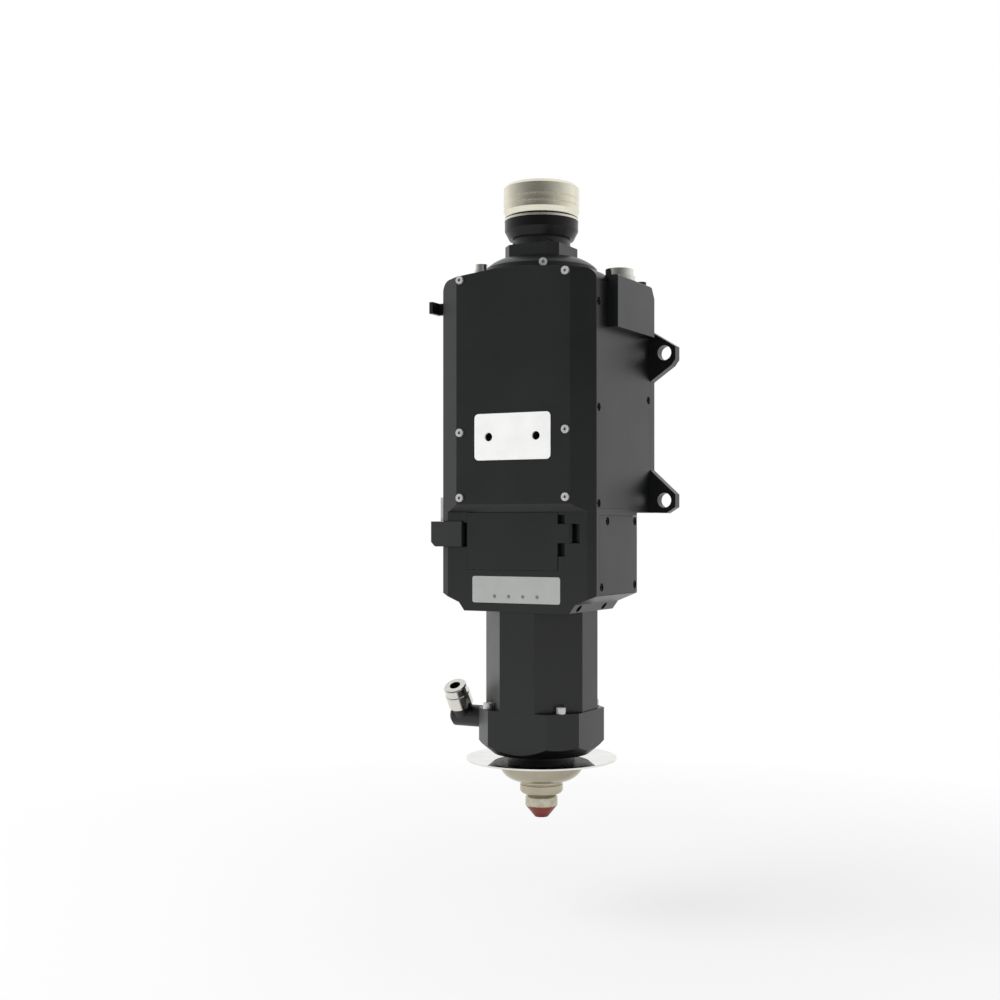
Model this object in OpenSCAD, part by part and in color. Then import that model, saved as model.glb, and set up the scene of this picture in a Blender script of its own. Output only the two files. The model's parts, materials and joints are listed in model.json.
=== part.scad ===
// Laser cutting head with a fibre receiver, a motorised lens unit, a window housing
// with a hinged door, and a height sensor that carries the nozzle.
// Pieces are drawn about the beam axis, with heights counted from the nozzle tip.

/* [Fibre receiver] */
// Outside diameter of the lock ring
ring_d = 68; // [64:0.5:74]
// Height of the lock ring
ring_h = 28.7; // [24:0.1:34]
// Thickness of the lip at the top of the lock ring
ring_lip = 3.5; // [2.5:0.5:5]
// Diameter of the spigot that the lock ring turns on
spigot_d = 56; // [52:0.5:59]
// Bore that takes the fibre connector
socket_d = 34; // [30:0.5:40]
// Depth of the fibre socket
socket_depth = 42; // [34:0.5:43]
// Diameter of the collar under the lock ring
collar_d = 66; // [63:0.5:72]
// Height of the collar
collar_h = 19.3; // [16:0.1:26]
// Height of the flare at the foot of the collar
collar_flare = 7.5; // [5:0.5:10]
// Diameter of the neck
neck_d = 52; // [48:0.5:54]
// Height of the neck
neck_h = 7; // [5:0.5:12]
// Width of the square receiver flange
flange_w = 54; // [50:0.5:55]
// Height of the receiver flange
flange_h = 11; // [9:0.5:16]
// Diameter of the light path through the receiver
light_d = 28; // [22:0.5:29]

/* [Top cap] */
// Diameter of the round cap
cap_d = 100; // [98:0.5:101]
// Radius of the cap's domed edge
cap_round = 32.4; // [30:0.2:33]
// Height of the cap over the housing's ridge
cap_h = 14.6; // [12:0.2:20]

/* [Upper housing] */
// Width over the side faces
body_w = 152; // [146:1:166]
// Width of the flat front
flat_w = 112; // [108:1:122]
// Depth of the bevels beside the flat front
bevel_d = 10.2; // [9.2:0.2:13]
// Distance from the beam axis to the front face
front_d = 55.2; // [54.2:0.2:60]
// Distance from the beam axis to the rear mounting face
rear_d = 80.5; // [79.5:0.5:92]
// Height of the side faces
house_h = 197; // [195:1:215]
// Radius of the rounded shoulders
shoulder_r = 10; // [8:0.5:12]
// Slope of the roof above the shoulders, in degrees
roof_slope = 6; // [4:0.5:8]
// Width of the flat ridge of the roof
ridge_w = 36; // [30:1:40]
// Thickness of the side walls behind the panels
wall = 8; // [6:0.5:10]
// Thickness of the housing's floor
floor_t = 8; // [6:0.5:10]
// Thickness of the rear wall
rear_t = 8; // [6:0.5:10]
// Thickness of the side panels
panel_t = 4; // [3.5:0.5:6]
// Bore for the beam through the housings
beam_d = 40; // [36:1:42]

/* [Front cover] */
// Distance of the cover screws from the middle
cover_screw_x = 52; // [51.5:0.1:53]
// Width of the access plate
plate_w = 74.8; // [66:0.2:80]
// Height of the access plate
plate_h = 40.6; // [34:0.2:46]
// Thickness of the access plate
plate_t = 1.8; // [1.6:0.1:2.4]
// Diameter of the two key holes
key_hole_d = 7.5; // [7.4:0.1:8.4]
// Distance of the key holes from the middle
key_x = 23.3; // [22.9:0.1:24]
// Height of the key holes over the housing's foot
key_h = 65.5; // [64:0.5:68]

/* [Mounting lugs] */
// Hole in each lug
lug_hole_d = 13.5; // [11:0.5:14]
// Distance between the left and right lug holes
lug_pitch_x = 180; // [178:1:186]
// Distance between the upper and lower lug holes
lug_pitch_z = 135; // [125:1:140]
// Height of the middle of the lug holes over the housing's foot
lug_mid_h = 79; // [76:0.5:86]
// Thickness of the lugs
lug_t = 10; // [8:0.5:12]
// Reach of the lugs past the holes
lug_reach = 10.8; // [10:0.2:14]

/* [Connectors] */
// Thickness of the connector box
box_t = 9.7; // [9:0.1:14]
// Length of the connector box
box_l = 80; // [72:1:86]
// Height of the connector box
box_h = 45; // [40:1:56]
// Diameter of the power socket
power_d = 28; // [25:0.5:29]
// Height of the power socket
power_h = 10.5; // [9.5:0.5:14]
// Diameter of the signal socket
signal_d = 9; // [8.8:0.1:11]
// Bore of the coolant fittings
coolant_bore_d = 8; // [6:0.5:9]
// Height of the coolant fittings over the roof
coolant_h = 20; // [17:0.5:24]

/* [Window housing] */
// Height of the window housing
block_h = 87; // [86:0.5:94]
// Distance from the beam axis to the rear of the window housing
block_rear = 40; // [39.5:0.5:46]
// Step of its front behind the cover's front
front_step = 6.6; // [6:0.2:7.4]
// Height of the lower edge of its sides over its foot
side_rise = 15; // [13:0.5:16]
// Width of its flat foot
foot_w = 104; // [100:1:108]
// Width over the drawers for the protective windows
drawer_w = 76; // [70:1:78]
// Height of a drawer
drawer_h = 14; // [13:0.2:15]
// Diameter of a protective window
window_d = 37; // [34:0.5:39]
// Thickness of a protective window
window_t = 7; // [5:0.5:8]

/* [Door and latch] */
// Thickness of the door
door_t = 6; // [5.5:0.1:6.6]
// Height of the door
door_h = 50.1; // [49.2:0.1:50.1]
// Distance of the door's free edge from the middle
door_free_x = 49; // [47:0.2:49]
// Distance of the door's hinge edge from the middle
door_hinge_edge = 40.7; // [40:0.1:41]
// Distance of the hinge axis from the middle
hinge_x = 51.2; // [50.8:0.1:52]
// Height of the door's hinge finger
finger_h = 16.3; // [14:0.1:16.8]
// Diameter of the hinge pin
hinge_pin_d = 2.5; // [2:0.1:3]
// Height of the latch
latch_h = 22.4; // [20:0.2:23]
// Width of the latch's side arm
latch_t = 8.7; // [8:0.1:10]
// Diameter of the latch pin
latch_pin_d = 3; // [2.5:0.1:3.4]

/* [Barrel and sensor body] */
// Width of the octagonal barrel
barrel_w = 96.8; // [94:0.2:99]
// Depth of the octagonal barrel
barrel_depth = 94; // [92:0.5:96]
// Corner chamfer of the barrel
barrel_chamfer = 31.5; // [30:0.5:32.5]
// Height of the barrel
barrel_h = 88; // [70:1:110]
// Bore of the barrel
barrel_bore_d = 44; // [42:0.5:48]
// Width of the octagonal sensor body
skirt_w = 100; // [99:0.5:104]
// Corner chamfer of the sensor body
skirt_chamfer = 21.2; // [20:0.2:22]
// Height of the sensor body
skirt_h = 40; // [38:0.5:48]
// Height of the turned taper at its foot
taper_h = 11.5; // [9:0.5:13]
// How far the taper draws in
taper_in = 14; // [10:0.5:16]

/* [Nozzle end] */
// Diameter of the splash disc
disc_d = 135; // [110:1:140]
// Thickness of the splash disc
disc_t = 1.5; // [1.2:0.1:3]
// Gap between the splash disc and the sensor body
disc_gap = 4.5; // [3:0.5:6]
// Diameter of the cooling cone
cone_d = 78; // [66:1:84]
// Height of the cooling cone
cone_h = 19.5; // [17:0.5:20]
// Diameter of the lock nut
nut_d = 38.7; // [38:0.1:42]
// Height of the lock nut
nut_h = 11.5; // [11:0.5:16]
// Height of the nozzle under the ceramic ring
nozzle_h = 19.5; // [16:0.5:24]
// Largest diameter of the nozzle
nozzle_d = 29; // [27:0.5:31]
// Diameter of the nozzle's tip
tip_d = 12; // [9:0.5:14]
// Height of the nozzle's cone
tip_h = 10.4; // [7:0.2:11]
// Orifice of the nozzle
orifice_d = 3; // [1:0.1:4]

/* [Gas inlet] */
// Diameter of the elbow's body
elbow_d = 20; // [18:0.5:21]
// Diameter of the journal that the elbow turns on
journal_d = 11; // [10:0.5:12]
// Lean of the outlet towards the front, in degrees
outlet_lean = 32; // [0:1:60]
// Diameter of the collet nut
collet_d = 23; // [19:0.5:24]
// Length of the collet nut
collet_l = 21; // [18:0.5:26]
// Bore of the collet, the size of the gas tube
tube_d = 10; // [8:0.5:10.5]

/* [Focusing drive] */
// Diameter of the lenses
lens_d = 38; // [34:0.5:38]
// Height of the carriage
carriage_h = 30; // [26:1:30]
// Diameter of the ball screw
screw_d = 8; // [6:0.5:9]
// Width of the guide rail
rail_w = 15; // [12:0.5:18]
// Height of the guide rail's section
rail_t = 9.5; // [8:0.5:10]
// Width of the square motor
motor_w = 28; // [24:1:28]
// Eccentricity of the sideways adjuster
adjuster_offset = 1.5; // [1.2:0.1:1.6]

/* [Hidden] */
$fn = 72;
eps = 1;
// Clearances: turning and screwed pieces, fixed pieces, and pieces that pass each other
run_fit = 0.05;
set_fit = 0.05;
gap = 0.3;

// Heights over the nozzle tip
nut_gap = 1.5;
z_nut = nozzle_h + nut_gap;
z_cone = z_nut + nut_h;
z_disc = z_cone + cone_h;
z_skirt = z_disc + disc_t + disc_gap;
z_barrel = z_skirt + skirt_h;
z_block = z_barrel + barrel_h;
z_house = z_block + block_h;
z_side = z_house + house_h;
half_w = body_w / 2;
tangent_x = half_w - shoulder_r + shoulder_r * sin(roof_slope);
tangent_z = z_side + shoulder_r * cos(roof_slope);
z_top = tangent_z + (tangent_x - ridge_w / 2) * tan(roof_slope);
z_flange = z_top + cap_h;
z_neck = z_flange + flange_h;
z_collar = z_neck + neck_h;
z_spigot = z_collar + collar_h;
ring_gap = 0.5;
z_ring = z_spigot + ring_gap;
z_spigot_top = z_ring + ring_h - ring_lip - ring_gap;
z_lug_mid = z_house + lug_mid_h;
function roof_z(x) = tangent_z + (tangent_x - abs(x)) * tan(roof_slope);

// Plan of the front
side_y = front_d - bevel_d;
bevel_run = half_w - flat_w / 2;
block_front = front_d - front_step;
block_flat = flat_w / 2 + bevel_run * front_step / bevel_d;

// Inside of the upper housing
rim_t = 8;
rim_x = cover_screw_x - 5;
cav_x = half_w - panel_t - wall;
cav_front = -side_y + rim_t;
cav_rear = rear_d - rear_t;
cav_floor = z_house + floor_t;
cav_top = z_side;
panel_gap = 0.2;
panel_low = z_house + 3;
panel_rear = rear_d - lug_t;

// Screws: head diameter, head height, shank diameter, key width
m4 = [7, 4, 4, 3];
m4_low = [7, 2.2, 4, 2.5];
m4_button = [7.2, 2.2, 4, 2.5];
m5 = [8.5, 5.5, 5, 4];
cover_shank = bevel_d + rim_t - 1;
cover_heights = [z_house + 12.6, z_house + 70, z_top - 7.6];
panel_shank = 8;
panel_seat = 3;
panel_front_y = -side_y + 4.4;
panel_heights = [z_house + 7.3, z_house + 89, z_house + 179];
panel_rear_spot = [panel_rear - 4.5, z_house + 103];
upper_spots = concat([for (z = panel_heights) [panel_front_y, z]], [panel_rear_spot]);

// Side panels of the window housing
low_panel_front = -side_y + 5;
low_panel_foot = z_block + side_rise + 0.5;
low_panel_top = z_house - 3;
low_inset = 5;
low_rise = 7;
lower_spots = [
    [low_panel_front + low_inset, low_panel_foot + low_rise],
    [block_rear - low_inset, low_panel_foot + low_rise],
    [block_rear - low_inset, low_panel_top - low_inset],
    [low_panel_front + 17, low_panel_top - low_inset]
];

// Foot of the window housing: knee of the chamfer, and the screws in it
knee_x = foot_w / 2 + 5.5;
knee_rise = 7.4;
chamfer_angle = atan2(knee_rise, knee_x - foot_w / 2);
chamfer_mid = [(knee_x + foot_w / 2) / 2, z_block + knee_rise / 2];
chamfer_ys = [-35.5, 15.5];
chamfer_screw_depth = 2;
chamfer_shank = 12;

// Drawers and their slots
drawer_front = -block_front + door_t + 0.6;
drawer_rear = 33;
drawer_heights = [z_block + 50.5, z_block + 71.5];
seal_t = 2.2;

// Door, recess and hinge
door_foot = z_block + 36.6;
recess_d = door_t + gap;
hinge_r = door_t / 2 + gap;
hinge_y = -block_front + hinge_r;
recess_end = hinge_x - sqrt(pow(hinge_x - door_hinge_edge, 2) - pow(hinge_r, 2)) + gap;
finger_foot = z_block + 60.3;
finger_pocket_x = hinge_x + 11;
side_pocket_x = hinge_x - hinge_r;
side_pocket_low = z_block + 48.7;
side_pocket_high = z_house - 2.4;
hinge_pin_foot = z_block + 45;
hinge_pin_top = z_house - 1;

// Latch: an angle that turns on a pin at its rear end
latch_foot = z_house - 30.4;
latch_proud = 2.4;
latch_front = -block_front - latch_proud;
latch_back = -block_front + 4;
latch_end_x = -53.4;
latch_in_x = -half_w - gap;
latch_out_x = latch_in_x - latch_t;
latch_pin_x = (latch_in_x + latch_out_x) / 2;
latch_pin_y = -28;
bracket_t = 4.4;
bracket_front = -42;
bracket_rear = -16;
bracket_top = z_house + 13.5;
bracket_lug = 4.2;
slot_d = 8;

// Indicator panel
label_w = 86.6;
label_h = 23.3;
label_t = 1.2;
label_inset = 0.9;
label_mid = z_block + 19.2;
light_pitch = 14;
light_r = 1.4;
light_z = z_block + 13.5;

// Sensor body
spigot_r = 19.9;
thread_r = 16.8;
throat_r = 12.5;
ceramic_flange = 3.5;
z_thread_end = z_nut + 1.5 + ceramic_flange;
shelf_sum = (skirt_w + barrel_depth) / 2 - skirt_chamfer - 6;
shelf_x = shelf_sum / 2 + 1.5;
shelf_y = shelf_sum / 2 - 1.5;
shelf_shank = 14;

// Gas inlet: stem and elbow along X, outlet above
gas_z = z_barrel - 12;
gas_r = 3.8;
stem_hex_l = 8;
stem_r = 6.5;
stem_in = 15;
elbow_in = -skirt_w / 2 - stem_hex_l - gap;
elbow_out = elbow_in - 33.5;
outlet_x = elbow_out + elbow_d / 2 + 2;
journal_end = elbow_in - 15;
neck_out = elbow_d / 2 + 3.5;
collet_seat_r = 7;
collet_seat_l = 5;

// Connector box on the right side
box_front = -22.6;
box_foot = z_side - 38;
box_top = box_foot + box_h;
arm_t = 4;
socket_at = [half_w - 5.2, box_front + 36];
arm_in_x = socket_at[0] - power_d / 2;
signal_at = [half_w + box_t / 2 - 2.35, box_front + box_l - 13.4];
signal_h = 3.5;
signal_sunk = 3;
signal_wall = 1.4;
socket_wall = 3;
socket_recess = 8;

// Coolant fittings, in flat seats on the left of the roof
coolant_r = 6.5;
coolant_x = cap_d / 2 + coolant_r + 1;
coolant_at = [[-coolant_x, -8], [-coolant_x, 24]];
coolant_thread_r = 5;
coolant_seat = roof_z(coolant_x) - 1.5;
coolant_thread = 8;
coolant_depth = coolant_h - 7;

// Cable hook on the left side
hook_z = z_house + 179;
hook_h = 10.5;
hook_out = half_w + 14;
hook_t = 3.5;
hook_back = -30;
hook_front = -46;

// Focusing drive, beside and behind the light path
plate_front = cav_rear - 32.5;
drive_t = 6;
screw_at = [cav_x - 18, 10];
bearing_z = z_house + 79;
bearing_h = 8;
bearing_r = 11;
shelf_t = 5;
motor_z = cav_top - 25;
motor_l = 24.5;
shaft_r = 2.5;
coupling_h = 14;
coupling_r = 7;
coupling_z = motor_z - shelf_t - 1 - coupling_h;
rail_z = z_house + 85;
rail_l = 108;
carriage_z = z_house + 112;
cell_r = lens_d / 2 + 8;
arm_h = 16;
arm_half = 9;
pad_w = 9;
arm_z = carriage_z + (carriage_h - arm_h) / 2;
lens_t = 9;
lens_lip = 3;
ball_nut_r = 8;
ball_flange_r = 12;
ball_flange_t = 4;

// Centring stage behind the key holes
key_z = z_house + key_h;
base_z = key_z - 22.5;
base_t = 8;
base_top = base_z + base_t;
base_front = cav_front + 0.5;
base_wall = 5.5;
base_rear = 28;
slide_x = 30;
slide_y = 27;
slide_t = 6;
slide_z = base_top + gap;
lip_t = 3;
lip_x = 7;
holder_z = slide_z + slide_t + gap;
holder_h = 18;
holder_r = lens_d / 2 + 6;
holder_flat = slide_y - lip_t - gap;
adjuster_head_r = 3.45;
adjuster_r = 3;
adjuster_front = -front_d + 3.7;
adjuster_neck = -side_y + 4;
adjuster_end = base_front + base_wall + 1.5;
thread_y_r = 2;
cam_pin_r = 1.3;
cam_slot_w = 2 * cam_pin_r + 0.2;

// Control board in the rear bay
board_w = 84;
board_h = 140;
board_t = 1.6;
board_z = z_house + 27;
board_boss_l = 8;
board_y = cav_rear - board_boss_l - board_t;
board_inset = 6;

// Colours
black = "#232524";
dark = "#151615";
silver = "#c9cac6";
steel = "#a9abac";
pale = "#f0f0ee";
brass = "#b8975a";
copper = "#8c4a3d";
glass = "#bcd6dd";
ceramic = "#d9d5c8";

// Outlines
function arc(c, r, a0, a1, n = 10) =
    [for (i = [0:n]) c + r * [cos(a0 + (a1 - a0) * i / n), sin(a0 + (a1 - a0) * i / n)]];

function rounded(w, h, r) = concat(
    arc([w / 2 - r, h / 2 - r], r, 0, 90),
    arc([-w / 2 + r, h / 2 - r], r, 90, 180),
    arc([-w / 2 + r, -h / 2 + r], r, 180, 270),
    arc([w / 2 - r, -h / 2 + r], r, 270, 360)
);

function octagon(x, y, c) = [
    [x - c, -y], [x, -y + c], [x, y - c], [x - c, y],
    [-x + c, y], [-x, y - c], [-x, -y + c], [-x + c, -y]
];

// Places the pieces: origin in the rear mounting face, between the four lug holes
module place() {
    translate([0, -rear_d, -z_lug_mid]) children();
}

module up(z0, z1) {
    translate([0, 0, z0]) linear_extrude(z1 - z0) children();
}

module along_y(y0, y1) {
    translate([0, y1, 0]) rotate([90, 0, 0]) linear_extrude(y1 - y0) children();
}

module along_x(x0, x1) {
    translate([x0, 0, 0]) rotate([90, 0, 90]) linear_extrude(x1 - x0) children();
}

module block(x0, x1, y0, y1, z0, z1) {
    translate([x0, y0, z0]) cube([x1 - x0, y1 - y0, z1 - z0]);
}

module rod_x(y, z, r, x0, x1) {
    translate([x0, y, z]) rotate([0, 90, 0]) cylinder(r = r, h = x1 - x0);
}

module rod_y(x, z, r, y0, y1) {
    translate([x, y0, z]) rotate([-90, 0, 0]) cylinder(r = r, h = y1 - y0);
}

module rod_z(x, y, r, z0, z1) {
    translate([x, y, z0]) cylinder(r = r, h = z1 - z0);
}

module both_sides() {
    children();
    mirror([1, 0, 0]) children();
}

module turned(points) {
    rotate_extrude() polygon(points);
}

// A screw with its head standing on the plane z = 0, shank below
module socket_screw(kind, shank) {
    difference() {
        union() {
            cylinder(d = kind[0], h = kind[1]);
            translate([0, 0, -shank]) cylinder(d = kind[2], h = shank + kind[1] / 2);
        }
        translate([0, 0, kind[1] * 0.4]) cylinder(d = kind[3] / cos(30), h = kind[1], $fn = 6);
    }
}

// The hole that such a screw needs, with room for its head above the plane
module screw_hole(kind, shank) {
    translate([0, 0, -shank - set_fit]) cylinder(r = kind[2] / 2 + set_fit, h = shank + eps);
    cylinder(r = kind[0] / 2 + 2 * set_fit, h = kind[1] + 3 * eps);
}

// Upper housing

module housing_outline() {
    right = arc([half_w - shoulder_r, z_side], shoulder_r, 0, 90 - roof_slope);
    polygon(concat(
        [[half_w, z_house]], right, [[ridge_w / 2, z_top], [-ridge_w / 2, z_top]],
        [for (i = [len(right) - 1:-1:0]) [-right[i][0], right[i][1]]], [[-half_w, z_house]]
    ));
}

module front_plan(flat_half, front, back) {
    polygon([
        [-half_w, -side_y], [-flat_half, -front], [flat_half, -front],
        [half_w, -side_y], [half_w, back], [-half_w, back]
    ]);
}

module at_cover_screws() {
    for (s = [-1, 1], z = cover_heights)
        translate([s * cover_screw_x, -front_d, z]) rotate([90, 0, 0]) children();
}

module at_panel_screws(spots) {
    for (spot = spots)
        translate([half_w - panel_seat, spot[0], spot[1]]) rotate([0, 90, 0]) children();
}

module lug(hole_z, rise, drop, foot) {
    x = lug_pitch_x / 2;
    tip = x + lug_reach;
    difference() {
        along_y(rear_d - lug_t, rear_d) polygon([
            [half_w, hole_z + rise], [tip, hole_z + lug_reach / 2],
            [tip, hole_z - lug_reach / 2 - 1], [x + foot, hole_z - lug_reach - 1],
            [half_w, hole_z - drop]
        ]);
        rod_y(x, hole_z, lug_hole_d / 2, rear_d - lug_t - eps, rear_d + eps);
    }
}

module mounting_lugs() {
    color(black) place() both_sides() {
        lug(z_lug_mid + lug_pitch_z / 2, 20.5, 26, lug_reach - 4);
        lug(z_lug_mid - lug_pitch_z / 2, 28, lug_reach + 0.6, 2);
    }
}

module board_bosses() {
    for (s = [-1, 1], z = [board_inset, board_h - board_inset])
        rod_y(s * (board_w / 2 - board_inset), board_z + z, 4, board_y + board_t, cav_rear + eps);
}

module main_housing() {
    corner = 6;
    color(black) place() difference() {
        union() {
            difference() {
                intersection() {
                    along_y(-side_y, rear_d) housing_outline();
                    along_x(-half_w, half_w) polygon([
                        [-side_y, z_house], [rear_d, z_house], [rear_d, z_top - 2 * corner],
                        [rear_d - corner, z_top], [-side_y, z_top]
                    ]);
                }
                block(-rim_x, rim_x, -side_y - eps, cav_front + eps, cav_floor + 10, cav_top - 6);
                block(-cav_x, cav_x, cav_front, cav_rear, cav_floor, cav_top);
                both_sides() {
                    block(half_w - panel_t, half_w + eps, -side_y - eps, panel_rear, panel_low, z_side);
                    block(cav_x - eps, half_w, cav_front + 10, cav_rear - 12, cav_floor + 20, cav_top - 22);
                }
            }
            board_bosses();
        }
        rod_z(0, 0, beam_d / 2, z_house - eps, cav_floor + eps);
        rod_z(0, 0, beam_d / 2, cav_top - eps, z_top + eps);
        block(arm_in_x, half_w + eps, box_front, box_front + box_l, box_top - arm_t, z_top);
        at_cover_screws() screw_hole(m4_button, cover_shank);
        both_sides() at_panel_screws(upper_spots) screw_hole(m4_low, panel_shank);
        for (p = coolant_at) {
            rod_z(p[0], p[1], coolant_r + 1, coolant_seat, z_top);
            rod_z(p[0], p[1], coolant_thread_r + set_fit, cav_top - eps, z_top);
        }
    }
}

module side_panel() {
    color(black) place() difference() {
        block(half_w - panel_t, half_w, -side_y, panel_rear - panel_gap,
              panel_low + panel_gap, z_side - panel_gap);
        at_panel_screws(upper_spots) screw_hole(m4_low, panel_shank);
    }
}

module right_side_panel() {
    side_panel();
}

module left_side_panel() {
    mirror([1, 0, 0]) side_panel();
}

module panel_screws() {
    color(dark) place() both_sides() {
        at_panel_screws(upper_spots) socket_screw(m4_low, panel_shank);
        at_panel_screws(lower_spots) socket_screw(m4_low, panel_shank);
    }
}

module front_cover() {
    pocket = 4;
    color(black) place() difference() {
        intersection() {
            along_y(-front_d, -side_y) housing_outline();
            up(z_house, z_top) front_plan(flat_w / 2, front_d, -side_y);
        }
        along_x(-half_w - eps, half_w + eps) polygon([
            [-front_d - eps, z_house + front_step + eps], [-front_d - eps, z_house - eps],
            [-front_d + front_step + eps, z_house - eps]
        ]);
        block(-rim_x + 1, rim_x - 1, -side_y - pocket, -side_y + eps, cav_floor + 11, cav_top - 7);
        along_y(-front_d - eps, -front_d + plate_t - gap) translate([0, key_z])
            polygon(rounded(plate_w + 2 * panel_gap, plate_h + 2 * panel_gap, 4));
        both_sides() rod_y(key_x, key_z, key_hole_d / 2, -front_d - eps, -side_y);
        at_cover_screws() screw_hole(m4_button, cover_shank);
    }
}

module cover_screws() {
    color(silver) place() at_cover_screws() socket_screw(m4_button, cover_shank);
}

module access_plate() {
    color(pale) place() difference() {
        along_y(-front_d - gap, -front_d + plate_t - gap)
            translate([0, key_z]) polygon(rounded(plate_w, plate_h, 4));
        both_sides() rod_y(key_x, key_z, key_hole_d / 2, -front_d - eps, -side_y);
    }
}

// Angles that the arc of the domed edge starts and ends at
dome = [44.2, 79];
cap_shank = 10;

module top_cap() {
    color(black) place() difference() {
        turned(concat(
            [[beam_d / 2, z_side], [cap_d / 2, z_side]],
            arc([cap_d / 2 - cap_round * cos(dome[0]), z_flange - cap_round * sin(dome[1])],
                cap_round, dome[0], dome[1], 6),
            [[beam_d / 2, z_flange]]
        ));
        along_y(-cap_d, cap_d) housing_outline();
        at_cap_screw() screw_hole(m4_button, cap_shank);
        at_receiver_screws() screw_hole(m4, flange_h + 6);
    }
}

module at_cap_screw() {
    rotate([0, 0, 29]) translate([0, 1 - cap_d / 2, z_top + 4.1]) rotate([90, 0, 0]) children();
}

module cap_screw() {
    color(silver) place() at_cap_screw() socket_screw(m4_button, cap_shank);
}

// Connectors

module connector_box() {
    color(black) place() difference() {
        union() {
            block(half_w, half_w + box_t, box_front, box_front + box_l, box_foot, box_top);
            block(arm_in_x + gap, half_w + eps, box_front + gap, box_front + box_l - gap,
                  box_top - arm_t, box_top);
        }
        along_y(box_front - eps, box_front + box_l + eps) polygon([
            [half_w + box_t + eps, box_top - 2], [half_w + box_t + eps, box_top + eps],
            [half_w + box_t - 2, box_top + eps]
        ]);
        along_x(half_w - 20, half_w + box_t + eps) polygon([
            [box_front + box_l + eps, box_top - 12], [box_front + box_l + eps, box_top + eps],
            [box_front + box_l - 7, box_top + eps]
        ]);
        rod_z(signal_at[0], signal_at[1], signal_d / 2 + set_fit, box_top - signal_sunk, box_top + eps);
    }
}

module power_socket() {
    color(silver) place() translate([socket_at[0], socket_at[1], box_top]) difference() {
        union() {
            cylinder(d = power_d, h = power_h * 0.4);
            cylinder(d = power_d - 3, h = power_h);
        }
        translate([0, 0, power_h - socket_recess])
            cylinder(d = power_d - 3 - 2 * socket_wall, h = socket_recess + eps);
    }
}

module signal_socket() {
    color(dark) place() translate([signal_at[0], signal_at[1], box_top]) difference() {
        translate([0, 0, -signal_sunk]) cylinder(d = signal_d, h = signal_sunk + signal_h);
        translate([0, 0, signal_wall - signal_sunk])
            cylinder(d = signal_d - 2 * signal_wall, h = signal_sunk + signal_h);
    }
}

module cable_hook() {
    color(black) place() {
        block(-hook_out, -half_w, hook_back - hook_t, hook_back, hook_z, hook_z + hook_h);
        block(-hook_out, -hook_out + hook_t, hook_front, hook_back, hook_z, hook_z + hook_h);
    }
}

module coolant_fittings() {
    color(silver) place() for (p = coolant_at) translate([p[0], p[1], coolant_seat]) difference() {
        union() {
            cylinder(r = coolant_r, h = coolant_h - 5);
            cylinder(r = coolant_r - 0.8, h = coolant_h);
            translate([0, 0, -coolant_thread]) cylinder(r = coolant_thread_r, h = coolant_thread + 1);
        }
        translate([0, 0, coolant_h - coolant_depth])
            cylinder(d = coolant_bore_d, h = coolant_depth + eps);
        translate([0, 0, -coolant_thread - eps]) cylinder(d = coolant_bore_d - 3, h = coolant_h);
    }
}

// Fibre receiver

module at_receiver_screws() {
    for (x = [-1, 1], y = [-1, 1])
        translate([x * (flange_w / 2 - 7), y * (flange_w / 2 - 7), z_neck - m4[1]]) children();
}

pilot_r = socket_d / 2 + 3;
pilot_l = 8;

module receiver_base() {
    color(black) place() difference() {
        union() {
            up(z_flange, z_neck) polygon(octagon(flange_w / 2, flange_w / 2, 8.6));
            rod_z(0, 0, neck_d / 2, z_neck, z_collar);
        }
        rod_z(0, 0, light_d / 2, z_flange - eps, z_collar);
        rod_z(0, 0, pilot_r + set_fit, z_collar - pilot_l - set_fit, z_collar + eps);
        at_receiver_screws() screw_hole(m4, flange_h + 6);
    }
}

module receiver_screws() {
    color(dark) place() at_receiver_screws() socket_screw(m4, flange_h + 6);
}

index_h = 2;
index_t = 1.8;
z_index = z_spigot - 3;

module receiver_collar() {
    rim = collar_d / 2;
    seat = rim - index_t;
    z_floor = z_spigot_top - socket_depth;
    color(dark) place() turned([
        [light_d / 2, z_collar - pilot_l], [pilot_r, z_collar - pilot_l], [pilot_r, z_collar],
        [rim - 4, z_collar], [rim, z_collar + collar_flare], [rim, z_index], [seat, z_index],
        [seat, z_index + index_h], [rim, z_index + index_h], [rim, z_spigot],
        [spigot_d / 2, z_spigot], [spigot_d / 2, z_spigot_top], [socket_d / 2, z_spigot_top],
        [socket_d / 2, z_floor], [light_d / 2, z_floor]
    ]);
}

module index_ring() {
    color(silver) place() turned([
        [collar_d / 2 - index_t + set_fit, z_index + set_fit], [collar_d / 2 + 0.3, z_index + set_fit],
        [collar_d / 2 + 0.3, z_index + index_h - set_fit],
        [collar_d / 2 - index_t + set_fit, z_index + index_h - set_fit]
    ]);
}

module lock_ring() {
    rim = ring_d / 2;
    in_r = spigot_d / 2 + run_fit;
    lip_r = socket_d / 2 + 1;
    z_end = z_ring + ring_h;
    color(silver) place() turned(concat(
        [[in_r, z_ring], [rim - 2.5, z_ring], [rim, z_ring + 5]],
        [for (z = [9, 15], step = [[0, -1], [0.8, -0.5], [0.8, 0.5], [0, 1]])
            [rim - step[0], z_ring + z + step[1]]],
        [[rim, z_end - 3], [rim - 3.2, z_end], [lip_r, z_end], [lip_r, z_end - ring_lip],
         [in_r, z_end - ring_lip]]
    ));
}

// Window housing

module block_outline() {
    polygon([
        [-half_w, z_house], [half_w, z_house], [half_w, z_block + side_rise],
        [knee_x, z_block + knee_rise], [foot_w / 2, z_block], [-foot_w / 2, z_block],
        [-knee_x, z_block + knee_rise], [-half_w, z_block + side_rise]
    ]);
}

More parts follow.
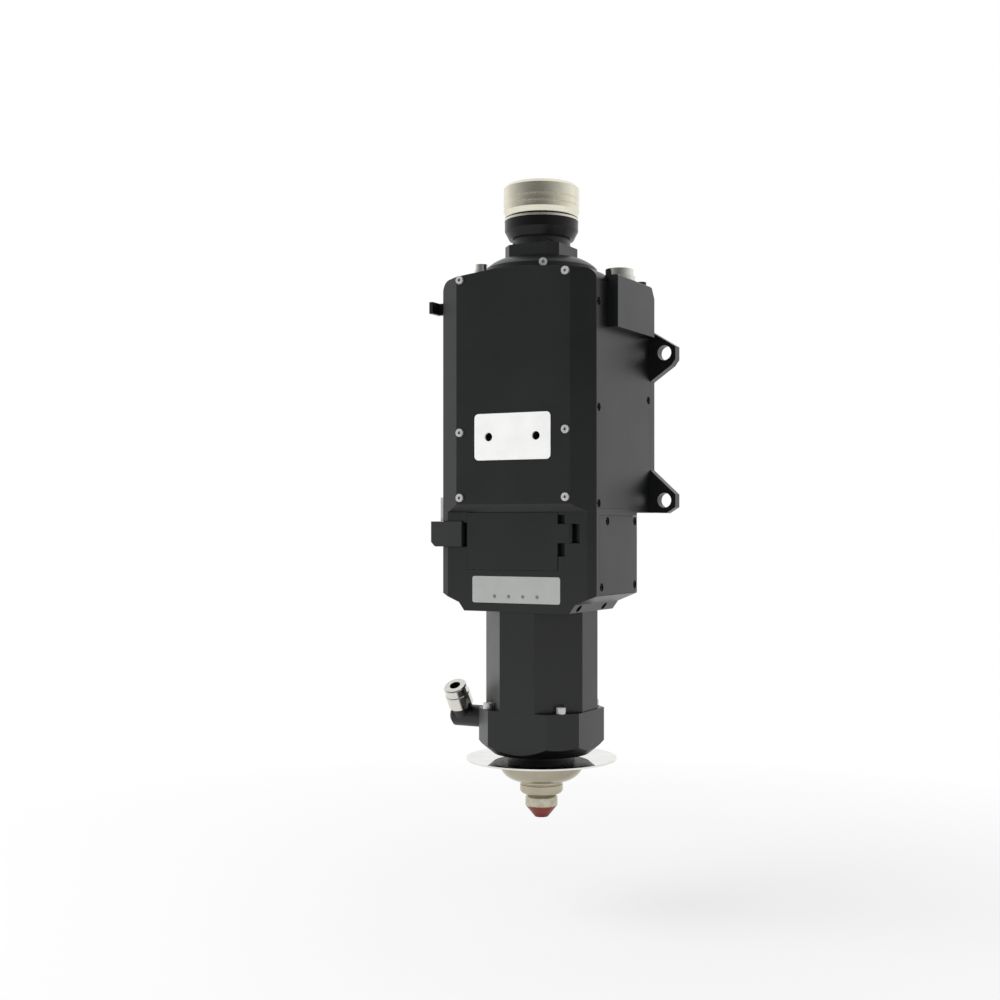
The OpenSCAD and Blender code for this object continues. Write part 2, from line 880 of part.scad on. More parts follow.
module at_barrel_screws() {
    both_sides() for (y = chamfer_ys)
        translate([chamfer_mid[0], y, chamfer_mid[1]]) rotate([0, 90 + 90 - chamfer_angle, 0])
            translate([0, 0, -m4[1] - chamfer_screw_depth]) children();
}

module window_housing() {
    pocket_in = drawer_w / 2 + 8;
    color(black) place() difference() {
        intersection() {
            along_y(-block_front, block_rear) block_outline();
            up(z_block, z_house) front_plan(block_flat, block_front, block_rear);
        }
        rod_z(0, 0, beam_d / 2, z_block - eps, z_house + eps);
        for (z = drawer_heights)
            block(-drawer_w / 2 - gap, drawer_w / 2 + gap, -block_front, drawer_rear + gap,
                  z - drawer_h / 2 - gap, z + drawer_h / 2 + gap);
        block(-door_free_x - gap, recess_end, -block_front - eps, -block_front + recess_d,
              door_foot - gap, z_house + eps);
        hinge_pockets();
        rod_z(hinge_x, hinge_y, hinge_pin_d / 2 + set_fit, hinge_pin_foot, z_house + eps);
        block(-half_w - eps, latch_end_x + gap, latch_front - eps, latch_back + gap,
              latch_foot - gap, latch_foot + latch_h + gap);
        block(latch_end_x - eps, -door_free_x, -block_front - eps, -block_front + slot_d,
              latch_foot - gap, latch_foot + latch_h - 1);
        along_y(-block_front - eps, -block_front + label_inset) translate([0, label_mid])
            polygon(rounded(label_w + 2 * panel_gap, label_h + 2 * panel_gap, 2));
        both_sides() {
            block(half_w - panel_t, half_w + eps, low_panel_front, block_rear + eps,
                  low_panel_foot, low_panel_top);
            block(pocket_in, half_w, low_panel_front + 6, block_rear - 6,
                  low_panel_foot + low_rise + 5, low_panel_top - 11);
            at_panel_screws(lower_spots) screw_hole(m4_low, panel_shank);
        }
        at_barrel_screws() screw_hole(m4, chamfer_shank);
    }
}

// Room for the door's finger, and beside the two fingers of the housing
module hinge_pockets() {
    left = door_hinge_edge;
    back = -block_front + recess_d;
    block(left, finger_pocket_x, -block_front - eps, back + 1, finger_foot - gap,
          finger_foot + finger_h + gap);
    block(left, side_pocket_x, -block_front - eps, back, side_pocket_low, finger_foot);
    block(left, side_pocket_x, -block_front - eps, back, finger_foot + finger_h, side_pocket_high);
}

module window_panel() {
    color(black) place() difference() {
        block(half_w - panel_t, half_w, low_panel_front + panel_gap, block_rear,
              low_panel_foot + panel_gap, low_panel_top - panel_gap);
        at_panel_screws(lower_spots) screw_hole(m4_low, panel_shank);
    }
}

module right_window_panel() {
    window_panel();
}

module left_window_panel() {
    mirror([1, 0, 0]) window_panel();
}

module barrel_screws() {
    color(dark) place() at_barrel_screws() socket_screw(m4, chamfer_shank);
}

module at_lights() {
    for (i = [0:3]) translate([(i - 1.5) * light_pitch, 0, 0]) children();
}

module indicator_panel() {
    color("#b3b5b2") place() difference() {
        along_y(-block_front + label_inset - label_t, -block_front + label_inset)
            translate([0, label_mid]) polygon(rounded(label_w, label_h, 2));
        at_lights() rod_y(0, light_z, light_r + set_fit, -front_d, -block_front + 2);
    }
}

module indicator_lights() {
    color("#8fa58f") place() at_lights()
        rod_y(0, light_z, light_r, -block_front + label_inset - label_t - 0.3, -block_front + label_inset);
}

module compartment_door() {
    color(black) place() difference() {
        union() {
            block(-door_free_x, door_hinge_edge, -block_front, -block_front + door_t,
                  door_foot, door_foot + door_h);
            block(door_hinge_edge - eps, hinge_x, -block_front, -block_front + door_t,
                  finger_foot, finger_foot + finger_h);
            rod_z(hinge_x, hinge_y, hinge_r, finger_foot, finger_foot + finger_h);
        }
        rod_z(hinge_x, hinge_y, hinge_pin_d / 2 + run_fit, finger_foot - eps, finger_foot + finger_h + eps);
    }
}

module hinge_pin() {
    color(steel) place() rod_z(hinge_x, hinge_y, hinge_pin_d / 2, hinge_pin_foot, hinge_pin_top);
}

module door_latch() {
    cut = 5;
    color(black) place() difference() {
        union() {
            up(latch_foot, latch_foot + latch_h) polygon([
                [latch_end_x, latch_front], [latch_end_x, latch_back], [latch_in_x, latch_back],
                [latch_in_x, latch_pin_y], [latch_out_x, latch_pin_y],
                [latch_out_x, latch_front]
            ]);
            rod_z(latch_pin_x, latch_pin_y, latch_t / 2, latch_foot, latch_foot + latch_h);
        }
        rod_z(latch_pin_x, latch_pin_y, latch_pin_d / 2 + run_fit, latch_foot - eps,
              latch_foot + latch_h + eps);
        along_y(latch_front - eps, latch_pin_y + latch_t) polygon([
            [latch_out_x - eps, latch_foot - eps], [latch_out_x + cut, latch_foot - eps],
            [latch_out_x - eps, latch_foot + cut]
        ]);
    }
}

// The bracket carries the pin that the latch turns on
module latch_bracket() {
    low = latch_foot - gap - bracket_lug;
    high = latch_foot + latch_h + gap;
    color(steel) place() {
        block(-half_w - bracket_t, -half_w, bracket_front, bracket_rear, high, bracket_top);
        block(-half_w - bracket_t, -half_w, bracket_rear - 5, bracket_rear, low, high + eps);
        for (z = [low, high]) {
            rod_z(latch_pin_x, latch_pin_y, latch_t / 2 - gap, z, z + bracket_lug);
            block(latch_pin_x, -half_w, latch_pin_y - latch_t / 2 + gap, bracket_rear - 1,
                  z, z + bracket_lug);
        }
        rod_z(latch_pin_x, latch_pin_y, latch_pin_d / 2, low + eps, high + eps);
    }
}

module window_drawers() {
    grip = 10;
    grip_h = drawer_h / 2;
    color("#3b3e40") place() for (z = drawer_heights) translate([0, 0, z - drawer_h / 2]) difference() {
        block(-drawer_w / 2, drawer_w / 2, drawer_front, drawer_rear, 0, drawer_h);
        translate([0, 0, -eps]) cylinder(r = window_d / 2 - 2.5, h = drawer_h + 2 * eps);
        translate([0, 0, drawer_h - window_t - seal_t])
            cylinder(r = window_d / 2 + set_fit, h = drawer_h);
        block(-grip, grip, drawer_front - eps, drawer_front + 4, drawer_h - grip_h, drawer_h + eps);
    }
}

module protective_windows() {
    color(glass) place() for (z = drawer_heights)
        rod_z(0, 0, window_d / 2, z + drawer_h / 2 - window_t - seal_t, z + drawer_h / 2 - seal_t);
}

module window_seals() {
    color("#d8d2c0") place() for (z = drawer_heights) difference() {
        rod_z(0, 0, window_d / 2, z + drawer_h / 2 - seal_t, z + drawer_h / 2);
        rod_z(0, 0, window_d / 2 - 3, z, z + drawer_h);
    }
}

// Barrel and sensor body

module at_shelf_screws() {
    for (x = [-1, 1], y = [-1, 1]) translate([x * shelf_x, y * shelf_y, z_barrel]) children();
}

module barrel() {
    color(black) place() difference() {
        intersection() {
            up(z_barrel, z_block) polygon(octagon(barrel_w / 2, barrel_depth / 2, barrel_chamfer));
            block(-barrel_w, barrel_w, -barrel_depth, block_rear, z_barrel, z_block);
        }
        rod_z(0, 0, barrel_bore_d / 2, z_barrel - eps, z_block + eps);
        at_shelf_screws() translate([0, 0, -eps]) cylinder(d = m5[0] + 3, h = m5[1] + 3);
    }
}

module sensor_body() {
    half_depth = barrel_depth / 2;
    corner_r = norm([skirt_w / 2, half_depth - skirt_chamfer]) + 1;
    boss_r = 30;
    color(black) place() difference() {
        union() {
            intersection() {
                up(z_skirt, z_barrel) polygon(octagon(skirt_w / 2, half_depth, skirt_chamfer));
                turned([
                    [0, z_skirt], [corner_r - taper_in, z_skirt], [corner_r, z_skirt + taper_h],
                    [corner_r, z_barrel], [0, z_barrel]
                ]);
            }
            turned([
                [0, z_thread_end], [thread_r, z_thread_end], [thread_r, z_disc], [spigot_r, z_disc],
                [spigot_r, z_disc + disc_t], [boss_r, z_disc + disc_t],
                [boss_r, z_skirt + 1], [0, z_skirt + 1]
            ]);
        }
        turned([
            [0, z_thread_end - eps], [throat_r, z_thread_end - eps], [throat_r, z_disc],
            [barrel_bore_d / 2 - 2, z_skirt + 14], [barrel_bore_d / 2 - 2, z_barrel + eps],
            [0, z_barrel + eps]
        ]);
        rod_x(0, gas_z, stem_r + set_fit, -skirt_w / 2 - eps, -skirt_w / 2 + stem_in + set_fit);
        rod_x(0, gas_z, gas_r, -skirt_w / 2, 0);
        at_shelf_screws() screw_hole(m5, shelf_shank);
    }
}

module shelf_screws() {
    color(silver) place() at_shelf_screws() socket_screw(m5, shelf_shank);
}

module splash_disc() {
    color(silver) place() difference() {
        rod_z(0, 0, disc_d / 2, z_disc, z_disc + disc_t);
        rod_z(0, 0, spigot_r + set_fit, z_disc - eps, z_disc + disc_t + eps);
    }
}

module cooling_cone() {
    foot_r = nut_d / 2 + 0.2;
    color(silver) place() turned(concat(
        [[thread_r + set_fit, z_cone]],
        [for (a = [0:9:90])
            [foot_r + (cone_d / 2 - foot_r) * sin(a), z_disc - cone_h * cos(a)]],
        [[thread_r + set_fit, z_disc]]
    ));
}

module lock_nut() {
    rim = nut_d / 2;
    edge = 4;
    groove_z = z_cone - 2.5;
    color(silver) place() turned(concat(
        [[throat_r + 0.7, z_nut]],
        arc([rim - edge, z_nut + edge], edge, -90, 0, 6),
        [[rim, groove_z - 0.8], [rim - 0.7, groove_z - 0.3], [rim - 0.7, groove_z + 0.3],
         [rim, groove_z + 0.8], [rim, z_cone], [thread_r + set_fit, z_cone],
         [thread_r + set_fit, z_nut + 1.5], [throat_r + 0.7, z_nut + 1.5]]
    ));
}

nozzle_thread_r = 7;
nozzle_thread = 12;

module ceramic_ring() {
    color(ceramic) place() turned([
        [nozzle_thread_r + set_fit, nozzle_h], [throat_r - 0.5, nozzle_h], [throat_r - 0.5, z_nut + 1.5],
        [thread_r - 0.4, z_nut + 1.5], [thread_r - 0.4, z_thread_end],
        [throat_r - set_fit, z_thread_end], [throat_r - set_fit, z_thread_end + 6],
        [nozzle_thread_r + set_fit, z_thread_end + 6]
    ]);
}

module nozzle() {
    rim = nozzle_d / 2;
    color(copper) place() turned([
        [orifice_d / 2, 0], [tip_d / 2, 0], [rim, tip_h], [rim, nozzle_h - 1.5], [rim - 1.2, nozzle_h],
        [nozzle_thread_r, nozzle_h], [nozzle_thread_r, nozzle_h + nozzle_thread],
        [nozzle_thread_r - 1.6, nozzle_h + nozzle_thread], [orifice_d / 2, 2]
    ]);
}

// Gas inlet

module gas_stem() {
    color(steel) place() difference() {
        union() {
            rod_x(0, gas_z, stem_r, -skirt_w / 2 - 1, -skirt_w / 2 + stem_in);
            translate([-skirt_w / 2 - stem_hex_l, 0, gas_z]) rotate([0, 90, 0])
                cylinder(d = elbow_d + 2, h = stem_hex_l, $fn = 6);
            rod_x(0, gas_z, journal_d / 2, journal_end, -skirt_w / 2);
        }
        rod_x(0, gas_z, gas_r, journal_end - eps, 0);
    }
}

module at_outlet() {
    translate([outlet_x, 0, gas_z]) rotate([outlet_lean, 0, 0]) children();
}

module gas_elbow() {
    edge = 3;
    color(dark) place() difference() {
        union() {
            translate([elbow_out, 0, gas_z]) rotate([0, 90, 0]) turned([
                [0, 0], [elbow_d / 2 - edge, 0], [elbow_d / 2, edge],
                [elbow_d / 2, elbow_in - elbow_out], [0, elbow_in - elbow_out]
            ]);
            at_outlet() cylinder(r = elbow_d / 2 - 0.4, h = neck_out);
            at_outlet() cylinder(r = collet_seat_r, h = neck_out + collet_seat_l);
        }
        rod_x(0, gas_z, journal_d / 2 + run_fit, journal_end - gap, elbow_in + eps);
        rod_x(0, gas_z, gas_r + 0.5, outlet_x - gas_r - 1, elbow_in);
        at_outlet() cylinder(r = gas_r, h = neck_out + collet_seat_l + eps);
    }
}

module gas_collet() {
    color(silver) place() at_outlet() translate([0, 0, neck_out]) difference() {
        turned([
            [0, 0], [collet_d / 2, 0], [collet_d / 2, collet_l * 0.6], [collet_d / 2 - 0.8, collet_l * 0.64],
            [collet_d / 2 - 0.8, collet_l - 1], [collet_d / 2 - 1.8, collet_l], [0, collet_l]
        ]);
        translate([0, 0, -eps]) cylinder(r = collet_seat_r + set_fit, h = collet_seat_l + set_fit + eps);
        cylinder(d = tube_d, h = collet_l + eps);
    }
}

// Focusing drive

module drive_plate() {
    x = screw_at[0];
    y = screw_at[1];
    color("#8e9294") place() difference() {
        union() {
            block(-cav_x + 6, cav_x - 2, plate_front, plate_front + drive_t, cav_floor, cav_top);
            block(x - motor_w / 2 - 2, x + motor_w / 2 + 2, y - motor_w / 2 - 2, plate_front + eps,
                  motor_z - shelf_t, motor_z);
            block(x - bearing_r - 2, x + bearing_r + 2, y - bearing_r - 2, plate_front + eps,
                  bearing_z, bearing_z + bearing_h);
        }
        rod_z(x, y, shaft_r + 2, motor_z - shelf_t - eps, motor_z + eps);
        rod_z(x, y, bearing_r + set_fit, bearing_z - eps, bearing_z + bearing_h + eps);
    }
}

module guide_rail() {
    color(steel) place()
        block(-rail_w / 2, rail_w / 2, plate_front - rail_t, plate_front, rail_z, rail_z + rail_l);
}

module collimator_carriage() {
    x = screw_at[0];
    y = screw_at[1];
    back = plate_front - 2;
    color("#9ea2a4") place() difference() {
        union() {
            rod_z(0, 0, cell_r, carriage_z, carriage_z + carriage_h);
            block(-rail_w / 2 - pad_w, rail_w / 2 + pad_w, cell_r / 2, back,
                  carriage_z, carriage_z + carriage_h);
            block(cell_r / 2, x + ball_nut_r + 3, y - arm_half, y + arm_half, arm_z, arm_z + arm_h);
        }
        rod_z(0, 0, lens_d / 2 - 2, carriage_z - eps, carriage_z + carriage_h + eps);
        rod_z(0, 0, lens_d / 2 + set_fit, carriage_z + lens_lip, carriage_z + carriage_h + eps);
        block(-rail_w / 2 - gap, rail_w / 2 + gap, plate_front - rail_t - gap, back + eps,
              carriage_z - eps, carriage_z + carriage_h + eps);
        rod_z(x, y, ball_nut_r + set_fit, arm_z - eps, arm_z + arm_h + eps);
    }
}

module lens(z) {
    bulge = 60;
    color(glass) place() intersection() {
        rod_z(0, 0, lens_d / 2, z, z + lens_t);
        translate([0, 0, z + lens_t - bulge]) sphere(r = bulge, $fn = 96);
    }
}

module collimator_lens() {
    lens(carriage_z + lens_lip);
}

module screw_nut() {
    color(brass) place() difference() {
        union() {
            rod_z(screw_at[0], screw_at[1], ball_nut_r, arm_z - eps, arm_z + arm_h);
            rod_z(screw_at[0], screw_at[1], ball_flange_r, arm_z - ball_flange_t, arm_z);
        }
        rod_z(screw_at[0], screw_at[1], screw_d / 2 + run_fit,
              arm_z - ball_flange_t - eps, arm_z + arm_h + eps);
    }
}

module ball_screw() {
    color(steel) place()
        rod_z(screw_at[0], screw_at[1], screw_d / 2, bearing_z - 2, coupling_z + coupling_h / 2);
}

module shaft_coupling() {
    color(silver) place() difference() {
        rod_z(screw_at[0], screw_at[1], coupling_r, coupling_z, coupling_z + coupling_h);
        rod_z(screw_at[0], screw_at[1], screw_d / 2 + set_fit, coupling_z - eps, coupling_z + coupling_h / 2);
        rod_z(screw_at[0], screw_at[1], shaft_r + run_fit, coupling_z, coupling_z + coupling_h + eps);
    }
}

module focus_motor() {
    color(dark) place() {
        translate([screw_at[0], screw_at[1], 0]) up(motor_z, motor_z + motor_l)
            polygon(octagon(motor_w / 2, motor_w / 2, 3));
        rod_z(screw_at[0], screw_at[1], shaft_r, coupling_z + coupling_h / 2 + 1, motor_z + eps);
    }
}

module screw_bearing() {
    color(steel) place() difference() {
        rod_z(screw_at[0], screw_at[1], bearing_r, bearing_z, bearing_z + bearing_h);
        rod_z(screw_at[0], screw_at[1], screw_d / 2 + run_fit, bearing_z - eps, bearing_z + bearing_h + eps);
    }
}

// Lens centring

module centring_base() {
    color("#8e9294") place() difference() {
        union() {
            block(-cav_x, cav_x, base_front, base_rear, base_z, base_top);
            block(-rim_x + 3, rim_x - 3, base_front, base_front + base_wall, base_z, key_z + 13);
            both_sides() block(slide_x + gap, slide_x + gap + 6, -slide_y, base_rear, base_z, base_top + 8);
        }
        rod_z(0, 0, beam_d / 2, base_z - eps, base_top + eps);
        both_sides() rod_y(key_x, key_z, adjuster_r + run_fit,
                           base_front - eps, base_front + base_wall + eps);
    }
}

module cross_slide() {
    lug_w = 5.6;
    color("#9ea2a4") place() difference() {
        union() {
            block(-slide_x, slide_x, -slide_y, slide_y, slide_z, slide_z + slide_t);
            for (y = [-slide_y, slide_y - lip_t])
                block(-lip_x, lip_x, y, y + lip_t, slide_z, holder_z + 4);
            block(key_x - lug_w, key_x + lug_w, -slide_y, -slide_y + 6, slide_z, key_z + lug_w);
        }
        rod_z(0, 0, beam_d / 2 + 1, slide_z - eps, slide_z + slide_t + eps);
        rod_y(key_x, key_z, thread_y_r + run_fit, -slide_y - eps, -slide_y + 6 + eps);
    }
}

module lens_holder() {
    tab = 5;
    color("#74787b") place() difference() {
        union() {
            intersection() {
                rod_z(0, 0, holder_r, holder_z, holder_z + holder_h);
                block(-holder_r, holder_r, -holder_flat, holder_flat, holder_z, holder_z + holder_h);
            }
            block(-key_x - tab, -key_x + tab, -holder_flat + 0.5, -8, key_z - 5, key_z + 7);
        }
        rod_z(0, 0, lens_d / 2 - 2, holder_z - eps, holder_z + holder_h + eps);
        rod_z(0, 0, lens_d / 2 + set_fit, holder_z + lens_lip, holder_z + holder_h + eps);
        block(-key_x - cam_slot_w / 2, -key_x + cam_slot_w / 2, -slide_y, -13.5, key_z - 4, key_z + 7 + eps);
    }
}

module focus_lens() {
    lens(holder_z + lens_lip);
}

module adjuster_head(x) {
    difference() {
        union() {
            rod_y(x, key_z, adjuster_head_r, adjuster_front, adjuster_neck);
            rod_y(x, key_z, adjuster_r, adjuster_neck - eps, adjuster_end);
        }
        translate([x, adjuster_front - eps, key_z]) rotate([-90, 0, 0])
            cylinder(d = 4 / cos(30), h = 5 + eps, $fn = 6);
    }
}

module adjuster_y() {
    color(dark) place() {
        adjuster_head(key_x);
        rod_y(key_x, key_z, thread_y_r, adjuster_end - eps, -slide_y + 9);
    }
}

module adjuster_x() {
    color(dark) place() {
        adjuster_head(-key_x);
        rod_y(-key_x, key_z + adjuster_offset, cam_pin_r, adjuster_end - eps, -15);
    }
}

module control_board() {
    color("#2d5a41") place() {
        block(-board_w / 2, board_w / 2, board_y, board_y + board_t, board_z, board_z + board_h);
        for (i = [0:2])
            block(-24, 24 - 8 * i, board_y - 4, board_y + eps, board_z + 16 + 40 * i, board_z + 36 + 40 * i);
    }
}

main_housing();
mounting_lugs();
top_cap();
cap_screw();
front_cover();
cover_screws();
access_plate();
right_side_panel();
left_side_panel();
panel_screws();
connector_box();
power_socket();
signal_socket();
cable_hook();
coolant_fittings();
receiver_base();
receiver_screws();
receiver_collar();
index_ring();
lock_ring();
window_housing();
right_window_panel();
left_window_panel();
barrel_screws();
indicator_panel();
indicator_lights();
compartment_door();
hinge_pin();
door_latch();
latch_bracket();
window_drawers();
protective_windows();
window_seals();
barrel();
sensor_body();
shelf_screws();
splash_disc();
cooling_cone();
ceramic_ring();
lock_nut();
nozzle();
gas_stem();
gas_elbow();
gas_collet();
drive_plate();
guide_rail();
collimator_carriage();
collimator_lens();
screw_nut();
ball_screw();
shaft_coupling();
focus_motor();
screw_bearing();
centring_base();
cross_slide();
lens_holder();
focus_lens();
adjuster_y();
adjuster_x();
control_board();
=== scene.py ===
import json
import math

import bmesh
import bpy
from mathutils import Matrix, Vector


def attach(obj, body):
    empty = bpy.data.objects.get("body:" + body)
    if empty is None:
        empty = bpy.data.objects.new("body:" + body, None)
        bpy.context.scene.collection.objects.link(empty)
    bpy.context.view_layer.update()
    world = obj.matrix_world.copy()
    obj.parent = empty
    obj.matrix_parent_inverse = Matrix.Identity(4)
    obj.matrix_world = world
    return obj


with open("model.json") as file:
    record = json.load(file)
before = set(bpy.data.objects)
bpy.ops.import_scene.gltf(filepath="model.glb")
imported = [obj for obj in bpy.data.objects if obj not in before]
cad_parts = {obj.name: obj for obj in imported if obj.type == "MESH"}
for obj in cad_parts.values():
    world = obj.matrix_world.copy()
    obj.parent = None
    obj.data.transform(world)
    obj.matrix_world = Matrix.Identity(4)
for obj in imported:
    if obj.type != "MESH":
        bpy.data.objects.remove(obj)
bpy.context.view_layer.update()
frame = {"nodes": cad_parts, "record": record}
nodes = frame["nodes"]
scene = bpy.context.scene
scene.view_settings.view_transform = "Standard"

MM = 0.001
# The beam axis and the nozzle tip in the part's frame, in mm
BEAM_Y = -80.5
TIP_Z = -352.0


def at(x, y, z):
    """A point counted from the beam axis and the nozzle tip, in mm, in the part's frame."""
    return Vector((x, y + BEAM_Y, z + TIP_Z)) * MM


# Camera, with its sizes in mm

AZIMUTH = math.radians(27.5)
DISTANCE = 1250
EYE_HEIGHT = 260
FOCAL_LENGTH = 50
SENSOR_WIDTH = 36
SHIFT_X = -0.0415
SHIFT_Y = 0.027

lens = bpy.data.cameras.new("camera")
lens.lens = FOCAL_LENGTH
lens.sensor_width = SENSOR_WIDTH
lens.shift_x = SHIFT_X
lens.shift_y = SHIFT_Y
camera = bpy.data.objects.new("camera", lens)
camera.location = at(DISTANCE * math.sin(AZIMUTH), -DISTANCE * math.cos(AZIMUTH), EYE_HEIGHT)
camera.rotation_euler = (math.pi / 2, 0, AZIMUTH)
scene.collection.objects.link(camera)
scene.camera = camera


# Node graphs

BEVEL_SAMPLES = 6
AO_SAMPLES = 8
# Cosines of the turn between the true and the softened normal where an edge starts and is full
EDGE_STARTS = 0.99
EDGE_FULL = 0.86


class Graph:
    """A node tree of a material or a world, built up one node at a time."""

    def __init__(self, owner, coordinates):
        owner.use_nodes = True
        self.tree = owner.node_tree
        self.place = self.add("ShaderNodeTexCoord").outputs[coordinates]

    def add(self, kind, sockets=None, **settings):
        made = self.tree.nodes.new(kind)
        for key, value in settings.items():
            setattr(made, key, value)
        for key, value in (sockets or {}).items():
            self.feed(made.inputs[key], value)
        return made

    def feed(self, socket, value):
        if isinstance(value, bpy.types.NodeSocket):
            self.tree.links.new(value, socket)
        else:
            socket.default_value = value

    def math(self, operation, a, b):
        return self.add("ShaderNodeMath", {0: a, 1: b}, operation=operation).outputs[0]

    def vector(self, operation, a, b):
        return self.add("ShaderNodeVectorMath", {0: a, 1: b}, operation=operation).outputs["Vector"]

    def dot(self, a, b):
        return self.add("ShaderNodeVectorMath", {0: a, 1: b}, operation="DOT_PRODUCT").outputs["Value"]

    def length(self, a):
        return self.add("ShaderNodeVectorMath", {0: a}, operation="LENGTH").outputs["Value"]

    def span(self, value, low, high, to_low, to_high):
        return self.add("ShaderNodeMapRange", {
            "Value": value, "From Min": low, "From Max": high,
            "To Min": to_low, "To Max": to_high}).outputs["Result"]

    def pick(self, factor, a, b):
        """The number a where the factor is zero, b where it is one."""
        sockets = {"Factor": factor, "A": a, "B": b}
        return self.add("ShaderNodeMix", sockets, data_type="FLOAT").outputs["Result"]

    def mirrored_rays(self):
        """One for rays that come from a reflection or through glass."""
        rays = self.add("ShaderNodeLightPath").outputs
        return self.math("MAXIMUM", rays["Is Glossy Ray"], rays["Is Transmission Ray"])

    def camera_rays(self):
        return self.add("ShaderNodeLightPath").outputs["Is Camera Ray"]


class Surface(Graph):
    """A material with one main shader."""

    def __init__(self, name):
        self.material = bpy.data.materials.new(name)
        super().__init__(self.material, "Object")
        self.shader = self.tree.nodes["Principled BSDF"]

    def set(self, **values):
        for key, value in values.items():
            self.feed(self.shader.inputs[key.replace("_", " ")], value)

    def noise(self, scale, detail):
        return self.add("ShaderNodeTexNoise", {
            "Vector": self.place, "Scale": scale, "Detail": detail}).outputs["Fac"]

    def rings(self, along, scale, detail):
        """Noise in one direction only, as a lathe tool leaves it."""
        return self.add("ShaderNodeTexNoise", {"W": along, "Scale": scale, "Detail": detail},
                        noise_dimensions="1D").outputs["Fac"]

    def spread(self, noise, low, high, width=0.4):
        """Noise from low to high, where width is the share of its range that is used."""
        return self.span(noise, 0.5 - width / 2, 0.5 + width / 2, low, high)

    def mix(self, factor, a, b):
        """The colour a where the factor is zero, b where it is one."""
        sockets = {"Factor": factor, "A": a, "B": b}
        return self.add("ShaderNodeMix", sockets, data_type="RGBA").outputs["Result"]

    def height(self):
        return self.add("ShaderNodeSeparateXYZ", {0: self.place}).outputs["Z"]

    def bump(self, height, strength, depth, normal):
        return self.add("ShaderNodeBump", {
            "Height": height, "Strength": strength, "Distance": depth, "Normal": normal}).outputs["Normal"]

    def rounding(self, radius):
        """Normals that soften the edges over a radius in mm."""
        return self.add("ShaderNodeBevel", {"Radius": radius * MM}, samples=BEVEL_SAMPLES).outputs["Normal"]

    def edges(self, radius):
        """One along the edges of a solid, zero on its faces."""
        true = self.add("ShaderNodeNewGeometry").outputs["Normal"]
        return self.span(self.dot(self.rounding(radius), true), EDGE_STARTS, EDGE_FULL, 0.0, 1.0)


# Materials

# Depth of a blasted or moulded grain and of tool marks, in m
GRAIN_DEPTH = 0.00003
MARK_DEPTH = 0.00002
# How far apart the walls of a recess that gets painted shade may be, in mm
RECESS_REACH = 2.0


def srgb(text):
    """A colour written as six hexadecimal digits, as linear RGBA."""
    parts = [int(text[i:i + 2], 16) / 255 for i in (0, 2, 4)]
    return [c / 12.92 if c <= 0.04045 else ((c + 0.055) / 1.055) ** 2.4 for c in parts] + [1.0]


def shade(tone, factor):
    """A colour made darker or lighter by a factor."""
    return [c * factor for c in tone[:3]] + [1.0]


def anodised(name, colour, roughness, wear=0.5):
    """Bead-blasted and anodised aluminium, a little paler along its edges."""
    g = Surface(name)
    tone = srgb(colour)
    cloud = g.noise(scale=22, detail=4)
    grain = g.noise(scale=3200, detail=2)
    face = g.mix(g.spread(cloud, 0, 1), shade(tone, 0.82), shade(tone, 1.22))
    patches = g.spread(g.noise(scale=160, detail=4), 0.25 * wear, wear, width=0.3)
    worn = g.math("MULTIPLY", g.edges(radius=0.7), patches)
    bare = [min(c * 3.2 + 0.02, 1) for c in tone[:3]] + [1.0]
    g.set(Base_Color=g.mix(worn, face, bare),
          Roughness=g.math("ADD", g.spread(grain, roughness - 0.05, roughness + 0.05),
                           g.spread(cloud, -0.03, 0.03)),
          Normal=g.bump(grain, strength=0.12, depth=GRAIN_DEPTH, normal=g.rounding(radius=0.45)))
    return g.material


def turned(name, colour, roughness, metallic=1.0, marks=0.1, edge=0.3, gloss=0.5):
    """Metal from the lathe, with fine rings round the beam axis."""
    g = Surface(name)
    tone = srgb(colour)
    away = g.vector("SUBTRACT", g.place, (0, BEAM_Y * MM, 0))
    radius = g.length(g.vector("MULTIPLY", away, (1, 1, 0)))
    rings = g.rings(g.math("ADD", radius, g.height()), scale=2600, detail=3)
    cloud = g.noise(scale=60, detail=3)
    g.set(Base_Color=g.mix(g.spread(cloud, 0, 1), shade(tone, 0.86), tone),
          Metallic=metallic,
          Roughness=g.math("ADD", g.spread(rings, roughness * 0.8, roughness * 1.25, width=0.5),
                           g.spread(cloud, -0.02, 0.03)),
          Normal=g.bump(rings, strength=marks, depth=MARK_DEPTH, normal=g.rounding(edge)),
          Specular_IOR_Level=gloss)
    return g.material


def bright(name, colour, roughness, metallic=1.0, mottle=0.84, recess_shade=False):
    """Bright metal of small pieces, such as screws and fittings, some with painted shade in their recesses.
    """
    g = Surface(name)
    tone = srgb(colour)
    cloud = g.noise(scale=300, detail=4)
    face = g.mix(g.spread(cloud, 0, 1, width=0.3), shade(tone, mottle), tone)
    if recess_shade:
        # Painted shade: the colour goes nearly black in recesses that the ambient occlusion finds closed
        # in, standing in for shadow in screw sockets
        open_to_air = g.add("ShaderNodeAmbientOcclusion", {"Distance": RECESS_REACH * MM},
                            samples=AO_SAMPLES).outputs["AO"]
        face = g.mix(g.span(open_to_air, 0.35, 0.75, 0, 1), shade(tone, 0.06), face)
    g.set(Base_Color=face,
          Metallic=metallic,
          Roughness=g.spread(cloud, roughness * 0.8, roughness * 1.3),
          Normal=g.bump(g.noise(scale=2400, detail=2), strength=0.08, depth=MARK_DEPTH,
                        normal=g.rounding(radius=0.2)))
    return g.material


